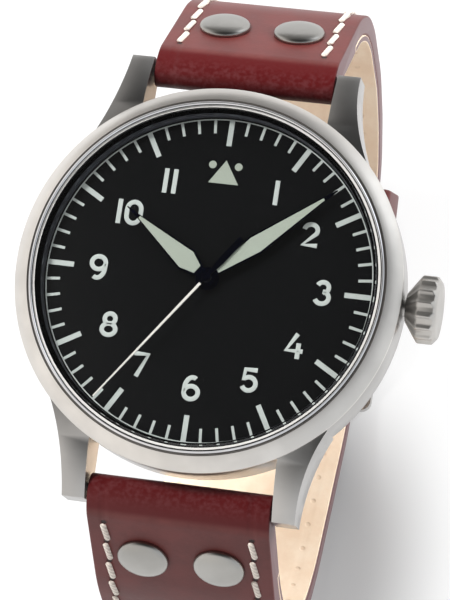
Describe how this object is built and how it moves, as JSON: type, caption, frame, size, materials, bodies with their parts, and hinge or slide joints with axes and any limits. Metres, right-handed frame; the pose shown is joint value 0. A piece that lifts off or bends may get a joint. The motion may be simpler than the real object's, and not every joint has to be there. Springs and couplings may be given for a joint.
{
  "type": "pilot watch",
  "caption": "Round mechanical pilot watch with domed crystal, three hands, fluted onion crown and a riveted, stitched leather strap closed in a buckled loop.",
  "frame": {"origin": "on the hands' axis, in the plane of the strap loop's buckle side, which the watch stands on", "axes": "+Z out of the dial along the hands' axis, +Y towards 12 o'clock, +X towards the crown at 3 o'clock"},
  "size_m": [0.0459, 0.0716, 0.0529],
  "materials": {
    "case_steel": "satin",
    "bezel_steel": "satin",
    "polished_steel": "polished",
    "crystal_glass": "clear",
    "rubber": "matt",
    "dial_black": "matt",
    "marking": "matt",
    "lume": "matt",
    "blued_steel": "gloss",
    "white_hand": "matt",
    "brass": "polished",
    "plate": "rhodium plated",
    "hard_steel": "polished",
    "holder": "matt",
    "burgundy_leather": "waxed",
    "tan_lining": "matt"
  },
  "bodies": {
    "case": {"case_middle": "case_steel", "bezel": "bezel_steel", "crystal": "crystal_glass", "crystal_gasket": "rubber", "rehaut_ring": "polished_steel", "case_back": "case_steel", "back_gasket": "rubber", "dial": "dial_black", "minute_track": "marking", "noon_marker": "marking", "hairspring": "blued_steel", "crown_tube": "case_steel", "main_plate": "plate", "barrel_bridge": "plate", "train_bridge": "plate", "balance_cock": "plate", "pallet_bridge": "plate", "movement_holder": "holder", "strap_upper_leather": "burgundy_leather", "strap_upper_lining": "tan_lining", "strap_lower_leather": "burgundy_leather", "strap_lower_lining": "tan_lining", "rivets": "polished_steel", "spring_bars": "hard_steel", "buckle_bar": "hard_steel", "fixed_keeper": "burgundy_leather"},
    "minute": {"cannon_pinion": "hard_steel", "centre_wheel": "brass", "minute_hand": "blued_steel", "minute_hand_lume": "lume"},
    "hour": {"hour_wheel": "brass", "hour_hand": "blued_steel", "hour_hand_lume": "lume"},
    "seconds": {"fourth_wheel": "brass", "seconds_hand": "white_hand"},
    "motion_wheel": {"minute_wheel": "brass"},
    "third": {"third_wheel": "brass"},
    "escape": {"escape_wheel": "hard_steel"},
    "drum": {"barrel": "brass"},
    "ratchet": {"ratchet_wheel": "hard_steel"},
    "winding_wheel": {"crown_wheel": "hard_steel"},
    "winding": {"winding_pinion": "hard_steel", "sliding_pinion": "hard_steel"},
    "crown_and_stem": {"crown": "case_steel", "winding_stem": "hard_steel", "crown_gasket": "rubber"},
    "balance": {"balance_wheel": "brass"},
    "pallet": {"pallet_fork": "hard_steel"},
    "buckle": {"buckle_frame": "case_steel"},
    "tongue": {"buckle_tongue": "case_steel"},
    "loose_keeper": {"free_keeper": "burgundy_leather"}
  },
  "joints": [
    {"name": "minute_turn", "type": "hinge", "parent": "case", "child": "minute", "pos_m": [0, 0, 0.0466], "axis": [0, 0, -1], "continuous": true},
    {"name": "hour_turn", "type": "hinge", "parent": "case", "child": "hour", "pos_m": [0, 0, 0.049], "axis": [0, 0, -1], "continuous": true},
    {"name": "seconds_turn", "type": "hinge", "parent": "case", "child": "seconds", "pos_m": [0, 0, 0.0448], "axis": [0, 0, -1], "continuous": true},
    {"name": "motion_wheel_turn", "type": "hinge", "parent": "case", "child": "motion_wheel", "pos_m": [0.00103, 0.00282, 0.0486], "axis": [0, 0, -1], "continuous": true},
    {"name": "third_turn", "type": "hinge", "parent": "case", "child": "third", "pos_m": [0.00213, -0.00368, 0.0456], "axis": [0, 0, -1], "continuous": true},
    {"name": "escape_turn", "type": "hinge", "parent": "case", "child": "escape", "pos_m": [-0.00299, -0.00251, 0.0456], "axis": [0, 0, -1], "continuous": true},
    {"name": "barrel_turn", "type": "hinge", "parent": "case", "child": "drum", "pos_m": [0, 0.00665, 0.0456], "axis": [0, 0, -1], "continuous": true},
    {"name": "ratchet_turn", "type": "hinge", "parent": "case", "child": "ratchet", "pos_m": [0, 0.00665, 0.0437], "axis": [0, 0, -1], "continuous": true},
    {"name": "crown_wheel_turn", "type": "hinge", "parent": "case", "child": "winding_wheel", "pos_m": [0.0064, 0, 0.0446], "axis": [0, 0, -1], "continuous": true},
    {"name": "crown_turn", "type": "hinge", "parent": "case", "child": "winding", "pos_m": [0.0235, 0, 0.0472], "axis": [1, 0, 0], "continuous": true},
    {"name": "crown_pull", "type": "slide", "parent": "winding", "child": "crown_and_stem", "axis": [1, 0, 0], "range_m": [0, 0.0009]},
    {"name": "balance_swing", "type": "hinge", "parent": "case", "child": "balance", "pos_m": [-0.00729, -0.0051, 0.045], "axis": [0, 0, -1], "range_deg": [-220, 220], "stiffness_Nm_per_rad": 0.0000002},
    {"name": "pallet_rock", "type": "hinge", "parent": "case", "child": "pallet", "pos_m": [-0.00534, -0.00393, 0.0457], "axis": [0, 0, -1], "range_deg": [-4, 4]},
    {"name": "frame_swing", "type": "hinge", "parent": "case", "child": "buckle", "pos_m": [0, 0.0074, 0.0061], "axis": [1, 0, 0], "range_deg": [0, 3]},
    {"name": "tongue_swing", "type": "hinge", "parent": "buckle", "child": "tongue", "pos_m": [0, 0.0074, 0.0061], "axis": [1, 0, 0], "range_deg": [0, 3]},
    {"name": "keeper_slide", "type": "slide", "parent": "case", "child": "loose_keeper", "axis": [0, 0.9862, 0.1653], "range_m": [-0.001, 0.001]}
  ],
  "couplings": [
    {"joint": "third_turn", "follows": "minute_turn", "ratio": -8},
    {"joint": "seconds_turn", "follows": "minute_turn", "ratio": 60},
    {"joint": "escape_turn", "follows": "minute_turn", "ratio": -720},
    {"joint": "barrel_turn", "follows": "minute_turn", "ratio": -0.16667},
    {"joint": "motion_wheel_turn", "follows": "minute_turn", "ratio": -0.33333},
    {"joint": "hour_turn", "follows": "minute_turn", "ratio": 0.083333},
    {"joint": "crown_wheel_turn", "follows": "crown_turn", "ratio": -0.5},
    {"joint": "ratchet_turn", "follows": "crown_turn", "ratio": 0.4}
  ]
}
